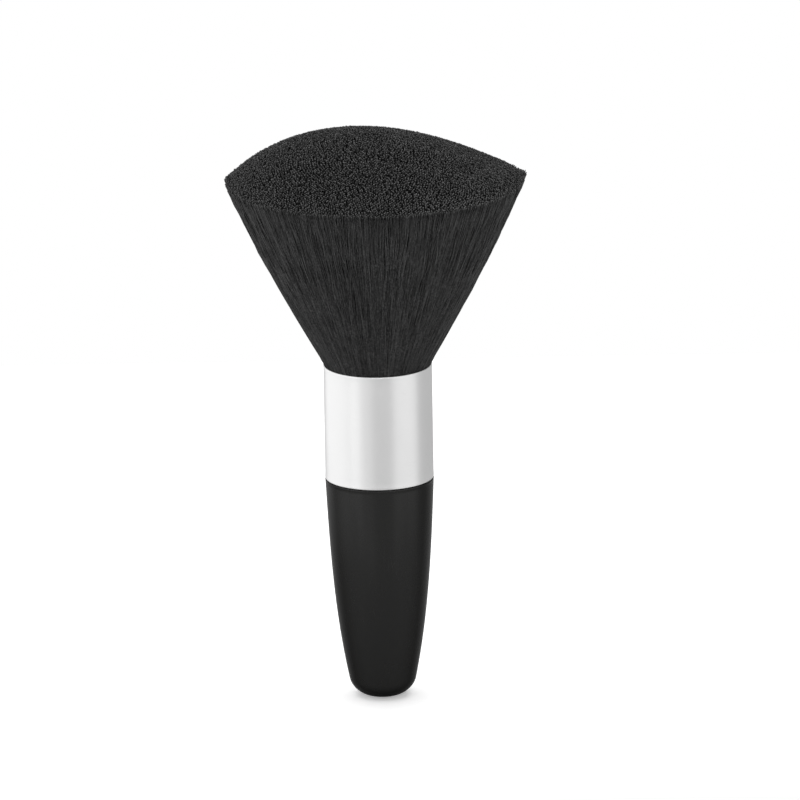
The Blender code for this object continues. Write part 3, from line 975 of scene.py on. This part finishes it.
def make_cast_material(name, dark, light, roughness):
    """A cast or squeezed-out filler: clouded colour, small pits and a soft gloss."""
    material, tree, shader, place = new_material(name, Coat_Weight=0.3, Coat_Roughness=0.2)
    cloud = use_group(tree, DRIFT, {"Vector": place, "Scale": 220.0, "Middle": 0.5, "Spread": 0.9})
    tree.links.new(mix_colors(tree, cloud.outputs[0], dark, light), shader.inputs["Base Color"])
    gloss = use_group(tree, DRIFT, {
        "Vector": place, "Scale": 500.0, "Middle": roughness, "Spread": 0.08,
    })
    tree.links.new(gloss.outputs[0], shader.inputs["Roughness"])
    pits = add_node(tree, "ShaderNodeTexVoronoi", {"Vector": place, "Scale": 900.0})
    normal = bump(tree, pits.outputs["Distance"], 0.08 * MM, strength=0.4)
    tree.links.new(normal, shader.inputs["Normal"])
    return material


def make_thread_material():
    """Undyed thread: bands of slanting twist and a fuzzy, matt surface."""
    material, tree, shader, place = new_material("undyed_thread", Sheen_Weight=0.4)
    twist = add_node(tree, "ShaderNodeTexWave", {
        "Vector": place, "Scale": 520.0, "Distortion": 3.0, "Detail": 2.0,
    }, wave_type="BANDS", bands_direction="DIAGONAL")
    color = mix_colors(tree, twist.outputs["Fac"], (0.42, 0.38, 0.31), (0.68, 0.64, 0.55))
    tree.links.new(color, shader.inputs["Base Color"])
    rough = use_group(tree, DRIFT, {"Vector": place, "Scale": 600.0, "Middle": 0.8, "Spread": 0.08})
    tree.links.new(rough.outputs[0], shader.inputs["Roughness"])
    normal = bump(tree, twist.outputs["Fac"], 0.1 * MM, strength=0.6)
    tree.links.new(normal, shader.inputs["Normal"])
    return material


hidden = {
    "resin_plug": make_cast_material("cast_resin", (0.42, 0.29, 0.12), (0.62, 0.48, 0.25), 0.3),
    "spigot_adhesive": make_cast_material("set_glue", (0.66, 0.62, 0.50), (0.80, 0.78, 0.68), 0.35),
    "binding_thread": make_thread_material(),
}
for node, material in hidden.items():
    give(frame["nodes"][node], material)
print("finished", len(hidden), "hidden pieces")

# %% [markdown]
# ## Floor and light
#
# The brush stands on its end on a small sheet of white paper. To the camera the paper is white
# and glows a little, like a light table. To every other ray it is a middle grey, so it doesn't
# wash out the handle or fill the ferrule's reflections. A broad soft light on the
# left lays the white band down the ferrule, and two narrower ones towards the front let that
# band fade out instead of stopping. One on the right makes the second, dimmer band. A fill in
# front and a large light overhead, a little behind, bring out the bristles and the cut. The room
# is a middle grey, which is what the ferrule shows between its bands, and white only where the
# camera looks straight at it.

# %% The paper floor
FLOOR_FRONT, FLOOR_BACK, FLOOR_LEFT, FLOOR_RIGHT = -0.09, 0.32, -0.12, 0.125
FLOOR_DROP = 0.05 * MM
FLOOR_GLOW = 0.3


def make_floor():
    """A flat sheet of white paper with faint clouds and no gloss, which glows for the camera."""
    corners = [(FLOOR_LEFT, FLOOR_FRONT, 0), (FLOOR_RIGHT, FLOOR_FRONT, 0)]
    corners += [(FLOOR_RIGHT, FLOOR_BACK, 0), (FLOOR_LEFT, FLOOR_BACK, 0)]
    sheet = mesh_object("paper_floor", corners, [(0, 1, 2, 3)], smooth=False)
    sheet.location.z = -FLOOR_DROP
    paper, tree, shader, place = new_material("white_paper", Roughness=0.9)
    clouds = use_group(tree, DRIFT, {"Vector": place, "Scale": 3.0, "Middle": 0.5, "Spread": 0.3})
    seen = mix_colors(tree, clouds.outputs[0], even(0.94), even(0.97))
    bounced = mix_colors(tree, clouds.outputs[0], even(0.40), even(0.43))
    ray = tree.nodes.new("ShaderNodeLightPath")
    color = mix_colors(tree, ray.outputs["Is Camera Ray"], bounced, seen)
    tree.links.new(color, shader.inputs["Base Color"])
    shader.inputs["Emission Color"].default_value = (*even(1.0), 1.0)
    glow = math_node(tree, "MULTIPLY", ray.outputs["Is Camera Ray"], FLOOR_GLOW)
    tree.links.new(glow, shader.inputs["Emission Strength"])
    give(sheet, paper)
    return sheet


make_floor()

# %% The room and the lights
ROOM_GREY = 0.52
world = bpy.data.worlds.new("studio")
bpy.context.scene.world = world
world.use_nodes = True
room = world.node_tree
room.nodes.clear()
grey = add_node(room, "ShaderNodeBackground", {"Color": (*even(ROOM_GREY), 1.0)})
white = add_node(room, "ShaderNodeBackground", {"Color": (*even(1.0), 1.0)})
ray = room.nodes.new("ShaderNodeLightPath")
shown = add_node(room, "ShaderNodeMixShader", {
    0: ray.outputs["Is Camera Ray"], 1: grey.outputs[0], 2: white.outputs[0],
})
add_node(room, "ShaderNodeOutputWorld", {"Surface": shown.outputs[0]})
AIM = Vector((0.0, 0.0, 0.075))


def soft_light(name, azimuth, elevation, distance, width, height, power):
    """A rectangular area light that faces the brush from a bearing: 0 is the front, 90 is +X."""
    lamp = bpy.data.lights.new(name, "AREA")
    lamp.shape = "RECTANGLE"
    lamp.size, lamp.size_y, lamp.energy = width, height, power
    light = bpy.data.objects.new(name, lamp)
    turn, rise = math.radians(azimuth), math.radians(elevation)
    level_x, level_y = math.sin(turn), -math.cos(turn)
    away = Vector((level_x * math.cos(rise), level_y * math.cos(rise), math.sin(rise)))
    light.location = AIM + away * distance
    light.rotation_euler = away.to_track_quat("Z", "Y").to_euler()
    bpy.context.scene.collection.objects.link(light)
    return light


soft_light("left_window", -108, 5, 1.1, 2.0, 1.5, 5.1)
soft_light("left_front", -51, 6, 1.1, 0.55, 1.4, 1.5)
soft_light("left_feather", -24, 6, 1.1, 0.45, 1.4, 0.55)
soft_light("right_strip", 60, 4, 1.1, 1.25, 1.5, 2.3)
soft_light("front_fill", 8, 14, 1.3, 0.8, 0.6, 2.2)
soft_light("overhead", 180, 74, 1.3, 1.8, 1.8, 16.0)

# %% [markdown]
# ## Camera
#
# The brush is seen from the front and a little above, with a long lens, so the rims show as
# shallow ellipses. It leans by just under a degree, which is the camera's roll.

# %% The camera
CAMERA_DISTANCE = 2.5
CAMERA_ELEVATION = math.radians(15.38)
CAMERA_ROLL = math.radians(0.94)
FRAME_WIDTH = 0.19975
SENSOR = 36.0
LOOK_AT = Vector((0.00542, 0.0, 0.0763))
direction = Vector((0, -math.cos(CAMERA_ELEVATION), math.sin(CAMERA_ELEVATION)))
camera_data = bpy.data.cameras.new("camera")
camera_data.sensor_width = SENSOR
camera_data.lens = SENSOR * CAMERA_DISTANCE / FRAME_WIDTH
camera = bpy.data.objects.new("camera", camera_data)
place = Matrix.Translation(LOOK_AT + direction * CAMERA_DISTANCE)
turn = (-direction).to_track_quat("-Z", "Y").to_matrix().to_4x4()
camera.matrix_world = place @ turn @ Matrix.Rotation(-CAMERA_ROLL, 4, "Z")
bpy.context.scene.collection.objects.link(camera)
bpy.context.scene.camera = camera
bpy.context.scene.view_settings.view_transform = "Standard"
print(f"camera: {camera_data.lens:.0f} mm lens, {CAMERA_DISTANCE} m away")
